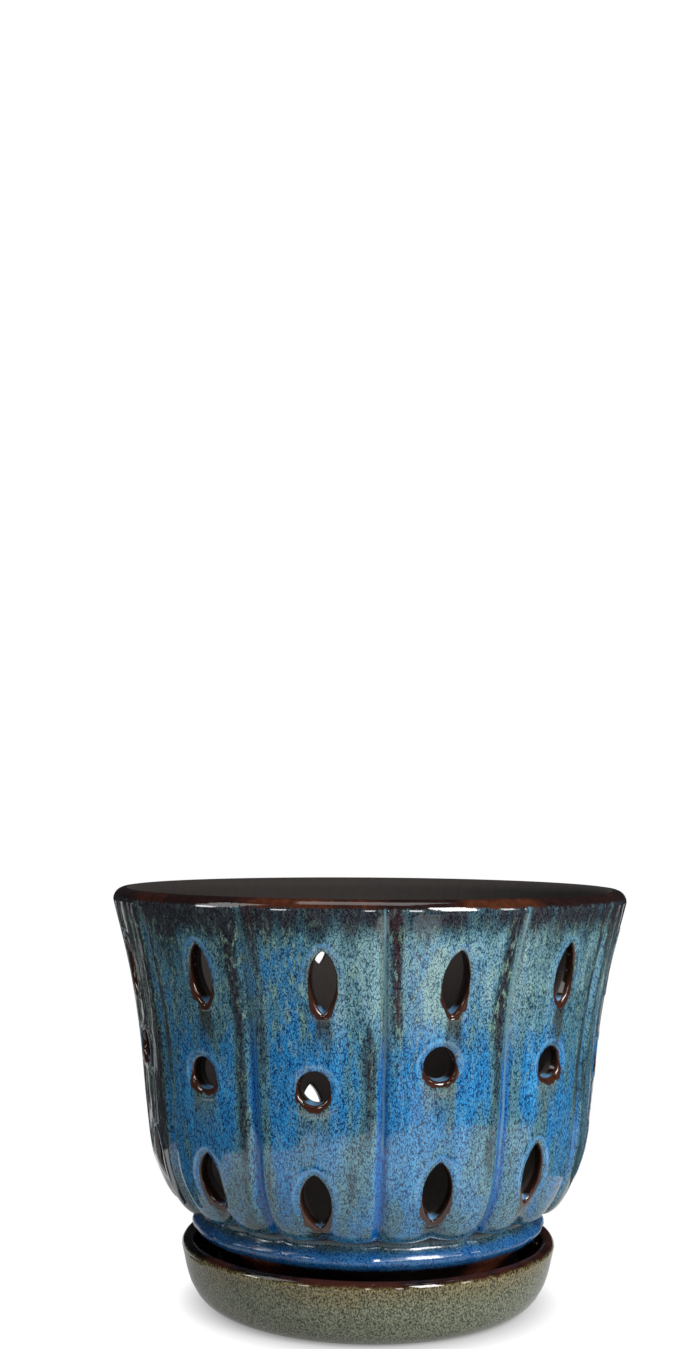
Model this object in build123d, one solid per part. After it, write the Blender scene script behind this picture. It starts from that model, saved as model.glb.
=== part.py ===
"""An orchid pot with cut slots, standing loose in its drip saucer. Sizes are in millimetres.

The origin is on the surface that the saucer stands on, below the middle of the pot, and +Z is up.
One column of slots faces -Y.
"""

from build123d import *

import os
from math import asin, atan2, cos, pi, sin

# Pot: its rim, a rolled bead
rim_radius = 101.5
rim_bead = 9.0
pot_height = 153.0

# Pot: its wall, whose scalloped lower edge overhangs the foot
wall = 6.5
skirt_radius = 73.0
panels = 12
groove_width = 6.0
groove_depth = 2.0
notch_width = 7.0
notch_depth = 2.6

# Pot: its foot, a plain drum below a flared ring, with a dark recess between ring and lower edge
neck_inset = 6.7
ring_flare = 2.5
ring_undercut = 3.8
ring_notch_depth = 0.9
foot_inset = 8.0
foot_width = 9.0
foot_hollow = 3.0
foot_rise = 12.0
underside_rise = 8.0
ring_rise = 5.0
neck_rise = 4.0
recess_rise = 3.0

# Pot: its inside
floor = 7.0
bowl_radius = 40.0
drain_radius = 9.0

# Slots: a leaf shape, a round hole and a lower leaf in each panel, with edges softened by the glaze
leaf_length = 22.0
leaf_width = 9.6
hole_radius = 5.8
low_leaf_length = 22.0
low_leaf_width = 10.6
slot_edge = 1.2
slot_edge_slope = 40.0
hand_drift = 4.4
hand_lean = 5.0

# Saucer: a shallow dish with a rounded lip, a rounded lower corner and a low foot
saucer_height = 25.0
saucer_room = 10.8
saucer_lip = 5.2
saucer_corner_inset = 5.0
saucer_corner_height = 7.0
saucer_floor = 6.0
saucer_floor_room = 2.5
saucer_well_inset = 2.8
saucer_well_rise = 7.0
saucer_foot_inset = 14.0
saucer_foot_width = 9.0
saucer_foot_hollow = 1.5

# How far past a face a cutting shape runs
overrun = 10.0

# The wall's outline from its lower edge up to the rim, a row for each level. Each row gives the
# share of the way up, the share of the way out, and how much of its full depth the groove has
# there and the notch below each slot column
wall_shares = (
    (0.0, 0.0, 1.0, 1.0),
    (0.035, 0.14, 1.0, 0.95),
    (0.085, 0.26, 1.0, 0.7),
    (0.185, 0.415, 1.0, 0.35),
    (0.33, 0.5, 1.0, 0.08),
    (0.55, 0.6, 1.0, 0.0),
    (0.75, 0.74, 1.0, 0.0),
    (0.9, 0.89, 0.9, 0.0),
    (0.965, 0.963, 0.45, 0.0),
    (1.0, 1.0, 0.0, 0.0),
)
# How far a lobe has already fallen where its groove begins, as a share of the notch's depth
lobe_fall_share = 0.45

# How far up the wall each row of slots lies
leaf_row_share = 0.797
hole_row_share = 0.511
low_leaf_row_share = 0.161
# How far each slot sits above its row, from the front column on, turning left to right
leaf_lift_shares = (-0.1, -0.1, 0.15, 0.2, -0.15, 0.0, 0.05, -0.1, 0.0, 0.1, -0.05, 0.05)
hole_lift_shares = (-0.9, 1.0, 0.45, -0.3, 0.5, 0.8, -0.7, -0.3, 0.3, -0.1, 0.6, -0.5)
low_leaf_lift_shares = (-0.8, 0.1, 0.8, 0.2, -0.5, 0.3, -0.6, 0.1, -0.3, 0.4, 0.6, -0.1)
# How far each slot sits to the right of its column's middle line
leaf_shift_shares = (0.9, 0.2, -0.1, 0.3, -0.4, -0.2, -0.9, -1.15, 0.4, -0.3, 0.1, 1.15)
hole_shift_shares = (-0.1, -0.7, -0.5, 0.2, 0.4, 0.7, 0.1, -0.25, -0.4, -0.2, 0.5, 0.25)
low_leaf_shift_shares = (-0.2, -0.4, -1.2, 0.3, 0.1, 0.4, 0.2, 0.1, -0.1, -0.3, 1.2, -0.1)
# How far each slot leans to the right at its top
leaf_lean_shares = (0.1, 1.0, 0.6, -0.3, 0.4, -0.2, 0.0, 0.5, -0.4, 0.3, -0.1, -0.2)
hole_lean_shares = (0.0,)
low_leaf_lean_shares = (-0.3, 0.3, 0.4, 0.1, -0.3, 0.2, -0.1, 0.3, 0.0, -0.2, 0.3, -0.4)

# How steeply an outline starts or ends: the share of its sideways way that it goes up
saucer_side_share = 0.25
underside_share = 0.6
bowl_share = 0.2

pot_base = saucer_floor
drum_level = pot_base + foot_rise
underside_level = drum_level + underside_rise
ring_level = underside_level + ring_rise
neck_level = ring_level + neck_rise
skirt_level = neck_level + recess_rise
floor_level = pot_base + foot_hollow + floor
bead = rim_bead / 2
rim_level = pot_base + pot_height - bead
panel_angle = 2 * pi / panels

neck_radius = skirt_radius - neck_inset
ring_radius = neck_radius + ring_flare
underside_radius = ring_radius - ring_undercut
foot_radius = underside_radius - foot_inset
saucer_radius = foot_radius + saucer_room + saucer_lip


def on_circle(radius, angle, height):
    """The point at an angle from the front, turning left to right."""
    return Vector(radius * sin(angle), -radius * cos(angle), height)


def lobed_wire(height, radius, groove, groove_half, notch):
    """One level of the wall: two lobes in each panel, a dip between them and a groove between panels."""
    shoulder = asin(groove_half / radius)
    shoulder_radius = radius - notch * lobe_fall_share
    edges = []
    for panel in range(panels):
        middle = panel * panel_angle
        seam = middle + panel_angle / 2
        start = on_circle(shoulder_radius, seam - panel_angle + shoulder, height)
        dip = on_circle(radius - notch, middle, height)
        end = on_circle(shoulder_radius, seam - shoulder, height)
        valley = on_circle(shoulder_radius - groove, seam, height)
        after = on_circle(shoulder_radius, seam + shoulder, height)
        left_crest = on_circle(radius, middle - panel_angle / 4, height)
        right_crest = on_circle(radius, middle + panel_angle / 4, height)
        edges.append(ThreePointArc(start, left_crest, dip))
        edges.append(ThreePointArc(dip, right_crest, end))
        edges.append(ThreePointArc(end, valley, after))
    return Wire(edges)


def wall_place(share):
    """Height, crest radius, groove depth and notch depth of the wall at a share of the way up."""
    for low, high in zip(wall_shares, wall_shares[1:]):
        if share <= high[0]:
            break
    way = (share - low[0]) / (high[0] - low[0])
    out, groove, notch = (a + (b - a) * way for a, b in zip(low[1:], high[1:]))
    height = skirt_level + share * (rim_level - skirt_level)
    radius = skirt_radius + out * (rim_radius - skirt_radius)
    return height, radius, groove_depth * groove, notch_depth * notch


def wall_lean(share):
    """How far the wall leans outward from upright at a share of the way up, as an angle."""
    near = wall_shares[1][0]
    low_height, low_radius, *_ = wall_place(max(share - near, 0))
    high_height, high_radius, *_ = wall_place(min(share + near, 1))
    return atan2(high_radius - low_radius, high_height - low_height)


def turned(outline):
    """The body made by turning an outline of radius and height around the pot's axis."""
    flat = Face(Wire(outline))
    return revolve(Plane.XZ * flat, Axis.Z)


def make_saucer():
    """The drip saucer, from the hollow under its foot round its side and lip to its floor."""
    lip = saucer_lip / 2
    lip_level = saucer_height - lip
    lip_inner = saucer_radius - saucer_lip
    foot_outer = saucer_radius - saucer_foot_inset
    foot_inner = foot_outer - saucer_foot_width
    floor_edge = foot_radius + saucer_floor_room
    side = Spline(
        (foot_outer, 0),
        (saucer_radius - saucer_corner_inset, saucer_corner_height),
        (saucer_radius, lip_level),
        tangents=[(1, saucer_side_share), (0, 1)],
    )
    over_lip = ThreePointArc(
        (saucer_radius, lip_level),
        (saucer_radius - lip, saucer_height),
        (lip_inner, lip_level),
    )
    well = Spline(
        (lip_inner, lip_level),
        (lip_inner - saucer_well_inset, saucer_floor + saucer_well_rise),
        (floor_edge, saucer_floor),
        tangents=[(0, -1), (-1, 0)],
    )
    return turned(
        [
            Line((0, saucer_foot_hollow), (foot_inner, saucer_foot_hollow)),
            Line((foot_inner, saucer_foot_hollow), (foot_inner, 0)),
            Line((foot_inner, 0), (foot_outer, 0)),
            side,
            over_lip,
            well,
            Line((floor_edge, saucer_floor), (0, saucer_floor)),
            Line((0, saucer_floor), (0, saucer_foot_hollow)),
        ]
    )


def make_wall():
    """The grooved wall as a filled body, from its scalloped lower edge to the rim."""
    wires = []
    for share, _, _, notch_share in wall_shares:
        height, radius, groove, notch = wall_place(share)
        half = (groove_width + (notch_width - groove_width) * notch_share) / 2
        wires.append(lobed_wire(height, radius, groove, half, notch))
    return Solid.make_loft(wires)


def make_foot():
    """The foot: a plain drum on the saucer's floor, and over it the flared and lobed ring."""
    hollow_level = pot_base + foot_hollow
    foot_inner = foot_radius - foot_width
    drum_top = underside_radius - ring_notch_depth
    drum = turned(
        [
            Line((0, hollow_level), (foot_inner, hollow_level)),
            Line((foot_inner, hollow_level), (foot_inner, pot_base)),
            Line((foot_inner, pot_base), (foot_radius, pot_base)),
            Line((foot_radius, pot_base), (foot_radius, drum_level)),
            Spline(
                (foot_radius, drum_level),
                (drum_top, underside_level),
                tangents=[(0, 1), (1, underside_share)],
            ),
            Line((drum_top, underside_level), (0, underside_level)),
            Line((0, underside_level), (0, hollow_level)),
        ]
    )
    levels = (
        (underside_level, underside_radius, 0),
        (ring_level, ring_radius, 1),
        (neck_level, neck_radius, 1),
        (skirt_level + wall, neck_radius, 1),
    )
    wires = []
    for height, radius, share in levels:
        notch = ring_notch_depth * share
        wires.append(lobed_wire(height, radius, notch, notch_width / 2, notch))
    return drum + Solid.make_loft(wires)


def make_rim():
    """The rolled bead on the wall's top, thickened down the inside until it runs into the wall."""
    bead_inner = rim_radius - rim_bead
    root = rim_level - 2 * wall
    middle = rim_radius - bead
    return turned(
        [
            ThreePointArc((rim_radius, rim_level), (middle, rim_level + bead), (bead_inner, rim_level)),
            Line((bead_inner, rim_level), (bead_inner, root)),
            Line((bead_inner, root), (middle, rim_level)),
            Line((middle, rim_level), (rim_radius, rim_level)),
        ]
    )


def make_cavity():
    """The space inside: a flat floor, a rounded bowl and the wall's own outline, one wall inside it."""
    inner = []
    for share, *_ in wall_shares[2:]:
        height, radius, *_ = wall_place(share)
        lean = wall_lean(share)
        inner.append((radius - wall * cos(lean), height + wall * sin(lean)))
    top_radius, top_height = inner[-1]
    neck_inner = neck_radius - wall
    bowl = Spline(
        (bowl_radius, floor_level),
        (neck_inner - wall / 4, ring_level),
        (neck_inner + wall / 4, skirt_level + wall / 4),
        *inner,
        tangents=[(1, bowl_share), (sin(wall_lean(1)), cos(wall_lean(1)))],
    )
    top = top_height + overrun
    return turned(
        [
            Line((0, floor_level), (bowl_radius, floor_level)),
            bowl,
            Line((top_radius, top_height), (top_radius, top)),
            Line((top_radius, top), (0, top)),
            Line((0, top), (0, floor_level)),
        ]
    )


def leaf(length, width):
    """A leaf shape: two arcs that meet in points above and below."""
    left = ThreePointArc((0, length / 2), (-width / 2, 0), (0, -length / 2))
    right = ThreePointArc((0, -length / 2), (width / 2, 0), (0, length / 2))
    return Face(Wire([left, right]))


def slot_cutters(shape, row_share, column, lift, shift, lean):
    """One slot's cutting shapes, square to the wall: the way through, and its softened outer edge."""
    rise = rim_level - skirt_level
    share = row_share + lift * hand_drift / rise
    height, crest, _, notch = wall_place(share)
    radius = crest - notch
    tilt = wall_lean(share)
    angle = column * panel_angle + shift * hand_drift / radius
    outward = on_circle(cos(tilt), angle, -sin(tilt))
    along = Vector(cos(angle), sin(angle), 0)
    face = Plane(origin=on_circle(radius, angle, height), x_dir=along, z_dir=outward)
    outline = Rot(0, 0, -lean * hand_lean) * shape
    through = extrude(face.offset(overrun) * outline, -wall - 2 * overrun)
    edge = extrude(face.offset(-slot_edge) * outline, slot_edge + notch_depth, taper=-slot_edge_slope)
    return [through, edge]


def make_slots():
    """All the cut openings: three in each panel, as uneven as hand cutting leaves them."""
    upper = leaf(leaf_length, leaf_width)
    round_hole = Circle(hole_radius).face()
    lower = leaf(low_leaf_length, low_leaf_width)
    rows = (
        (upper, leaf_row_share, leaf_lift_shares, leaf_shift_shares, leaf_lean_shares),
        (round_hole, hole_row_share, hole_lift_shares, hole_shift_shares, hole_lean_shares),
        (lower, low_leaf_row_share, low_leaf_lift_shares, low_leaf_shift_shares, low_leaf_lean_shares),
    )
    cutters = []
    for shape, row_share, *hand_shares in rows:
        for column in range(panels):
            lift, shift, lean = (shares[column % len(shares)] for shares in hand_shares)
            cutters += slot_cutters(shape, row_share, column, lift, shift, lean)
    return cutters


def make_pot():
    """The whole pot: its wall and foot, hollowed out, then the rim's bead, the drain and the slots."""
    body = make_wall() + make_foot() - make_cavity() + make_rim()
    drain = Pos(0, 0, pot_base) * extrude(Circle(drain_radius), floor_level + overrun)
    return body - drain - make_slots()


if __name__ == "__main__":
    os.makedirs("parts", exist_ok=True)
    for name, piece in (("pot", make_pot()), ("saucer", make_saucer())):
        export_step(piece, f"parts/{name}.step")
        print(name, round(piece.volume), piece.is_valid, len(piece.solids()))
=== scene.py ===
# %% [markdown]
# # An orchid pot with cut slots, in Blender
# The real pot is slip-cast or thrown stoneware. Its wall has twelve soft grooves, three rows of
# slots cut by hand while the clay was leather hard, and a runny two-tone glaze that breaks brown
# over every edge. It stands loose in a plain round saucer.
# The measured CAD model comes in first as a fixed frame. Everything here is built around it, in
# metres, so nothing has to be fitted afterwards.

from math import atan, cos, pi, radians, sin

import bmesh
import bpy
import numpy as np
from mathutils import Matrix, Vector
from mathutils.kdtree import KDTree


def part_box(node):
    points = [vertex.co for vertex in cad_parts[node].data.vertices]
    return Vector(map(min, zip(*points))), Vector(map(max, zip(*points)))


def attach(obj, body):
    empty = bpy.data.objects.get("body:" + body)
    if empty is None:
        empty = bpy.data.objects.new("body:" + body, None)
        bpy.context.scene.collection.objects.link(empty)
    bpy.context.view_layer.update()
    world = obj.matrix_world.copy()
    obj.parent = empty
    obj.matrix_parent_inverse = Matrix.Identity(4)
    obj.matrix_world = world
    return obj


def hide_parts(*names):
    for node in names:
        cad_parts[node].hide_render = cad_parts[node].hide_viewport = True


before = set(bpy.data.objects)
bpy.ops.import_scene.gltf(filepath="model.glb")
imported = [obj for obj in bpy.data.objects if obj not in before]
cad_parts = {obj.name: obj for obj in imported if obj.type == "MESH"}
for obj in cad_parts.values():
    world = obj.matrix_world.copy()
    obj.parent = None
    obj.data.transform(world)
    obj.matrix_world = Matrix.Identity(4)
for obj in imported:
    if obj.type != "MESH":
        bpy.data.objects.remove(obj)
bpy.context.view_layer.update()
mm = 0.001

# %% [markdown]
# ## The sizes that the potter worked to
# A wall like this could be copied from the CAD mesh, but its faces are too coarse for a glaze that
# mirrors everything. A wall written as a rule is better: for any angle and height it says how far
# out the clay is. The rule uses the CAD model's own sizes, so the two agree.

# %% Sizes of the pot, in millimetres
rim_radius, skirt_radius = 101.5, 73.0
skirt_level, rim_level = 38.0, 154.5
wall, bead = 6.5, 4.5
panels = 12
panel_angle = 2 * pi / panels
groove_depth, groove_reach = 2.0, 3.6
notch_depth, lobe_fall = 2.6, 0.45
scallop_lift, scallop_from, scallop_to = 1.7, 52, 40
hand_drift, hand_lean = 4.4, 5.0

wall_shares = np.array([  # up, out, groove, notch
    (0.0, 0.0, 1.0, 1.0),
    (0.035, 0.14, 1.0, 0.95),
    (0.085, 0.26, 1.0, 0.7),
    (0.185, 0.415, 1.0, 0.35),
    (0.33, 0.5, 1.0, 0.08),
    (0.55, 0.6, 1.0, 0.0),
    (0.75, 0.74, 1.0, 0.0),
    (0.9, 0.89, 0.9, 0.0),
    (0.965, 0.963, 0.45, 0.0),
    (1.0, 1.0, 0.0, 0.0),
])
pot_low, pot_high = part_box("pot")
print("the rim rule gives", 2 * rim_radius, "mm, the CAD pot is", round((pot_high - pot_low).x / mm, 1))

# %% A smooth curve through a few known values
def smooth(known, values, at):
    """A curve through the known values that never swings past them."""
    step = np.diff(values) / np.diff(known)
    before, after = step[:-1], step[1:]
    same_way = before * after > 0
    total = np.where(same_way, before + after, 1.0)
    slope = np.concatenate([step[:1], np.where(same_way, 2 * before * after / total, 0.0), step[-1:]])
    at = np.clip(at, known[0], known[-1])
    row = np.clip(np.searchsorted(known, at) - 1, 0, len(step) - 1)
    width = known[row + 1] - known[row]
    t = (at - known[row]) / width
    start = (1 + 2 * t) * (1 - t) ** 2 * values[row] + t * (1 - t) ** 2 * width * slope[row]
    end = t * t * (3 - 2 * t) * values[row + 1] + t * t * (t - 1) * width * slope[row + 1]
    return start + end


def ease(low, high, value):
    """0 below low, 1 above high, and a soft step between."""
    t = np.clip((value - low) / (high - low), 0.0, 1.0)
    return t * t * (3 - 2 * t)


halfway = float(smooth(wall_shares[:, 0], wall_shares[:, 1], 0.5))
print("halfway up, the wall is", round(halfway, 3), "of its way out")

# %% [markdown]
# ## The wall as a rule
# Seen from above, each panel has two shallow lobes that meet in a notch below the slots, and a
# groove parts it from the next. Both fade out towards the rim. The lower edge hangs in scallops.
# The same rule gives the inside face: it goes a wall's depth in, square to the outside.

# %% Lobes, grooves and the wall
flat_middle, flat_reach, flat_share = radians(15), radians(22), 0.6  # the front was pressed a little flat


def half_turn(angle):
    """The same direction, as an angle within half a turn of the front."""
    return (angle + pi) % (2 * pi) - pi


def lobes_and_groove(angle, radius):
    """How far into a lobe's notch and how far into a groove an angle lies, both from 0 to 1."""
    turn = angle / panel_angle
    across = 2 * np.abs(turn - np.round(turn))
    flatter = 1 - flat_share * np.exp(-(half_turn(angle - flat_middle) / flat_reach) ** 2)
    lobe = (2 * across - 1) ** 2 * flatter
    lobe = np.where(across > 0.5, lobe * lobe_fall, lobe)
    to_seam = (1 - across) * panel_angle / 2 * radius
    channel = np.cos(pi / 2 * np.minimum(1.0, to_seam / groove_reach)) ** 2
    return lobe, channel, np.abs(2 * across - 1) ** 1.5 * flatter


def wall_value(kind, height):
    """One of the wall's shares at a height: 1 is out, 2 is groove and 3 is notch."""
    share = (height - skirt_level) / (rim_level - skirt_level)
    return smooth(wall_shares[:, 0], wall_shares[:, kind], share)


def crest(height):
    """The wall's outer radius between its notches and grooves."""
    return skirt_radius + (rim_radius - skirt_radius) * wall_value(1, height)


def flare(height, step):
    """How steeply the wall flares at a height, measured a step up and a step down."""
    return (crest(height + step) - crest(height - step)) / (2 * step)


def on_circle(radius, angle, height):
    """Points at an angle from the front, turning left to right."""
    return np.stack(np.broadcast_arrays(radius * np.sin(angle), -radius * np.cos(angle), height), -1)


def shell(angle, height, depth):
    """Points of the wall: at an angle, a height up its outside, and a depth in from there."""
    radius = crest(height)
    lobe, channel, scallop = lobes_and_groove(angle, radius)
    notch, groove = notch_depth * wall_value(3, height), groove_depth * wall_value(2, height)
    outer_part = np.clip(1 - depth / wall, 0.0, 1.0)
    lean = np.arctan(flare(height, 1.5))
    lift = scallop_lift * scallop * ease(scallop_from, scallop_to, height) * outer_part
    out = radius - (notch * lobe + groove * channel) * outer_part - depth * np.cos(lean)
    return on_circle(out, angle, height + depth * np.sin(lean) + lift)


across_panel = np.array([0.0, panel_angle / 4, panel_angle / 2])
print("wall points 90 mm up:", shell(across_panel, np.full(3, 90.0), 0.0).round(1).tolist())

# %% [markdown]
# ## Where the slots were cut
# Twelve columns hold a leaf, a round hole and a lower leaf. A knife and a tired hand put them a
# little high, low, left, right or askew, so each has its own lift, shift and lean. These are the
# CAD model's, so the holes in both are in the same places.

# %% The rows of slots
cells_low, cells_high = 40.2, 148.0  # the cells cover the wall between these heights
slot_rows = {
    "leaf": dict(
        half_height=11.0, half_width=4.8, row=0.797, cell=(114.0, cells_high),
        lift=(-0.1, -0.1, 0.15, 0.2, -0.15, 0.0, 0.05, -0.1, 0.0, 0.1, -0.05, 0.05),
        shift=(0.9, 0.2, -0.1, 0.3, -0.4, -0.2, -0.9, -1.15, 0.4, -0.3, 0.1, 1.15),
        lean=(0.1, 1.0, 0.6, -0.3, 0.4, -0.2, 0.0, 0.5, -0.4, 0.3, -0.1, -0.2),
    ),
    "hole": dict(
        half_height=5.8, half_width=5.8, row=0.511, cell=(77.0, 114.0),
        lift=(-0.9, 1.0, 0.45, -0.3, 0.5, 0.8, -0.7, -0.3, 0.3, -0.1, 0.6, -0.5),
        shift=(-0.1, -0.7, -0.5, 0.2, 0.4, 0.7, 0.1, -0.25, -0.4, -0.2, 0.5, 0.25),
        lean=(0.0,) * panels,
    ),
    "low_leaf": dict(
        half_height=11.0, half_width=5.3, row=0.161, cell=(cells_low, 77.0),
        lift=(-0.8, 0.1, 0.8, 0.2, -0.5, 0.3, -0.6, 0.1, -0.3, 0.4, 0.6, -0.1),
        shift=(-0.2, -0.4, -1.2, 0.3, 0.1, 0.4, 0.2, 0.1, -0.1, -0.3, 1.2, -0.1),
        lean=(-0.3, 0.3, 0.4, 0.1, -0.3, 0.2, -0.1, 0.3, 0.0, -0.2, 0.3, -0.4),
    ),
}


def slot_place(row, column):
    """A slot's middle as an angle, a height and a radius, with how the wall and the slot lean."""
    made = slot_rows[row]
    height = skirt_level + made["row"] * (rim_level - skirt_level) + made["lift"][column] * hand_drift
    radius = float(crest(height))
    angle = column * panel_angle + made["shift"][column] * hand_drift / radius
    tilt = atan(float(flare(height, 4)))
    return angle, height, radius, tilt, radians(made["lean"][column] * hand_lean)


print("front column:", {row: [round(v, 2) for v in slot_place(row, 0)] for row in slot_rows})

# %% [markdown]
# ## A slot's outline
# The leaf is two arcs that meet in points, softened a little because wet clay doesn't keep a sharp
# corner. Going round it by an even turn of a clock hand packs more points into the tips, where the
# outline bends most.

# %% One slot's outline
edge_points = 72
turns = np.arange(edge_points) * 2 * pi / edge_points  # clockwise from the top
tip_softness = 0.3


def outline(row, column, growth=0.0):
    """Sideways and upward distances from the slot's middle to the points round its edge."""
    made = slot_rows[row]
    tall, wide = made["half_height"], made["half_width"]
    up = tall * np.cos(turns)
    if row == "hole":
        across = wide * np.sin(turns)
    else:
        bow = (tall ** 2 + wide ** 2) / (2 * wide)
        arc = np.sqrt(bow ** 2 - up ** 2) - (bow - wide)
        oval = wide * np.abs(np.sin(turns))
        across = np.sign(np.sin(turns)) * ((1 - tip_softness) * arc + tip_softness * oval)
    hand = 1 + 0.022 * np.sin(2 * turns + 2.1 * column) + 0.018 * np.sin(3 * turns + 1.3 * column + tall)
    normal = np.stack([np.sin(turns) / wide, np.cos(turns) / tall])
    normal /= np.hypot(*normal)
    across, up = across * hand + growth * normal[0], up * hand + growth * normal[1]
    *_, tilt, lean = slot_place(row, column)
    turned_across = across * cos(lean) + up * sin(lean)
    turned_up = up * cos(lean) - across * sin(lean)
    return turned_across, turned_up * cos(tilt)


leaf_reach = [round(float(np.abs(v).max()), 1) for v in outline("leaf", 0)]
print("a leaf's edge reaches", leaf_reach, "mm sideways and up from its middle")

# %% [markdown]
# ## Wall cells round the slots
# A boolean cut would leave long thin faces that spoil the reflections. Instead, every slot gets its
# own cell of wall: rings of points that start as the slot's outline and end as the cell's
# rectangle. The rings carry on over the glazed edge, through the wall and out again on the inside.
# All cells meet point for point.

# %% The rings of one cell
# shares of half a panel's width, and of the way from a slot's edge to its cell's border
half_panel = np.array([0, 0.17, 0.34, 0.5, 0.64, 0.76, 0.86, 0.93, 0.97, 1.0])
outer_rings = np.array([0, 0.03, 0.07, 0.12, 0.18, 0.26, 0.35, 0.45, 0.56, 0.67, 0.77, 0.85, 0.92, 0.965, 1.0])
edge_round = 1.3
roll_height, roll_away, roll_width = 0.28, 2.4, 1.3  # the glaze gathers in a low roll beside the edge
rim_swell, swell_from = 1.2, 135  # the wall gets thicker towards the rim


def cell_border(row, column):
    """The points round a cell, as angles and heights, clockwise from the top middle."""
    low, high = slot_rows[row]["cell"]
    half_top, side = len(half_panel) - 1, edge_points // 4
    away, back = half_panel[:-1], half_panel[::-1][:-1]
    across = np.concatenate([away, np.ones(side), back, -away, -np.ones(side), -back])
    top, down = np.ones(half_top), np.linspace(1, 0, side + 1)
    up = np.concatenate([top, down[:-1], 0 * top, 0 * top, down[::-1][:-1], top])
    return (column + across / 2) * panel_angle, low + up * (high - low)


def cell_rings(row, column):
    """A cell's rings and their depths, from the outside border through the slot to the inside one."""
    angle, height, radius, *_ = slot_place(row, column)
    border_angle, border_height = cell_border(row, column)
    inside = wall + rim_swell * ease(swell_from, cells_high, border_height)
    rings = []

    def ring(share, growth, depth):
        across, up = outline(row, column, growth)
        start_angle, start_height = angle + across / radius, height + up
        ring_angle = start_angle + (border_angle - start_angle) * share
        ring_height = start_height + (border_height - start_height) * share
        rings.append((ring_angle, ring_height, np.broadcast_to(depth, edge_points)))

    for share in outer_rings[::-1]:
        away = np.hypot((border_angle - angle) * radius, border_height - height) * share
        ring(share, edge_round, -roll_height * np.exp(-((away - roll_away) / roll_width) ** 2))
    # over the rounded edge, straight through the wall, and out again on the inside
    for bend in radians(22.5), radians(45), radians(67.5), radians(90):
        ring(0, edge_round * (1 - sin(bend)), edge_round * (1 - cos(bend)))
    for depth in 2.6, 4.2, wall - 0.8:
        ring(0, 0, depth)
    ring(0, 0.25, wall - 0.2)
    for share in 0, 0.12, 0.3, 0.6, 1.0:
        ring(share, 0.8, inside if share == 1.0 else wall + (inside - wall) * share)
    return rings


print("rings in a cell:", len(cell_rings("leaf", 0)))

# %% [markdown]
# ## From rings to faces
# Two neighbouring rings make a band of four-sided faces. Collecting all points and faces in plain
# lists first, and making the Blender mesh once at the end, is much quicker than adding them one by
# one.

# %% Collect points and faces
points, faces, depths = [], [], []


def add_rings(rings, ring_depths):
    """Adds rings of points, and a band of faces between each ring and the next."""
    count = len(rings[0])
    first = sum(len(chunk) for chunk in points)
    for ring, depth in zip(rings, ring_depths):
        points.append(np.asarray(ring))
        depths.append(np.broadcast_to(depth, count))
    for level in range(len(rings) - 1):
        here, there = first + level * count, first + (level + 1) * count
        for k in range(count):
            n = (k + 1) % count
            faces.append((here + k, here + n, there + n, there + k))


slot_edges = []
for row in slot_rows:
    for column in range(panels):
        rings = cell_rings(row, column)
        add_rings([shell(a, h, d) for a, h, d in rings], [d for *_, d in rings])
        slot_edges.append((row, column, shell(*rings[len(outer_rings)])))
print("faces in the wall cells:", len(faces))

# %% [markdown]
# ## The rim, the foot and the floor
# Below and above the cells nothing is cut, so one outline carried round the pot is enough. Each
# outline row says the radius, the height, and how deep the lobes and grooves still are there. The
# lower edge turns under into a dark recess. Below it comes the flared ring, which is what shows as
# a glossy blue band, and then the plain drum of the foot.

# %% Carry an outline round the pot
def panel_columns():
    """The angles of the columns of points, the same as on the borders of the cells."""
    across = np.concatenate([-half_panel[::-1][:-1], half_panel[:-1]])
    return np.concatenate([(column + across / 2) * panel_angle for column in range(panels)])


around = panel_columns()
drips = ((0.235, 1.1, 0.05), (1.9, 0.8, 0.06), (3.35, 1.0, 0.045), (4.6, 0.7, 0.05), (5.7, 0.6, 0.06))


def drip_reach(angle):
    """How far a thick run of glaze stands out on the flared ring."""
    return sum(reach * np.exp(-(half_turn(angle - at) / width) ** 2) for at, reach, width in drips)


def outline_ring(radius, height, lobe=0.0, groove=0.0, lift=0.0, drip=0.0):
    """One ring round the pot, with what is left of the lobes, the grooves and the scallops."""
    lobes, channel, scallop = lobes_and_groove(around, radius)
    out = radius - lobe * lobes - groove * channel + drip * drip_reach(around)
    return on_circle(out, around, height + lift * scallop)


underside = [  # radius, height, lobe, groove, lift, drip, from the wall down and in to the drain hole
    (74.1, 39.2, 2.6, 2.0, 1.7, 0), (73.0, 38.4, 2.6, 2.0, 1.7, 0), (71.6, 37.9, 2.5, 1.9, 1.7, 0),
    (70.0, 38.0, 2.2, 1.6, 1.6, 0), (68.4, 38.2, 1.7, 1.2, 1.1, 0), (67.0, 37.6, 1.2, 0.9, 0.6, 0),
    (66.3, 36.4, 0.8, 0.7, 0.2, 0), (66.2, 35.2, 0.6, 0.6, 0, 0.1), (66.6, 34.1, 0.5, 0.5, 0, 0.3),
    (67.5, 33.1, 0.4, 0.4, 0, 0.6), (68.4, 32.1, 0.4, 0.4, 0, 0.9), (68.8, 31.0, 0.4, 0.4, 0, 1.0),
    (68.7, 30.0, 0.4, 0.4, 0, 1.0), (68.1, 29.0, 0.4, 0.4, 0, 0.8), (67.1, 28.0, 0.4, 0.4, 0, 0.4),
    (66.0, 27.0, 0.3, 0.3, 0, 0.1), (64.8, 25.9, 0.3, 0.3, 0, 0),
    (62.6, 24.1), (60.0, 21.6), (58.0, 19.2), (57.0, 17.0), (57.0, 12.0), (57.0, 7.2), (56.6, 6.3),
    (55.8, 6.0), (52.0, 6.0), (48.8, 6.0), (48.1, 6.4), (48.0, 8.6), (47.4, 9.0), (30.0, 9.0),
    (10.0, 9.0),
]
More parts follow.
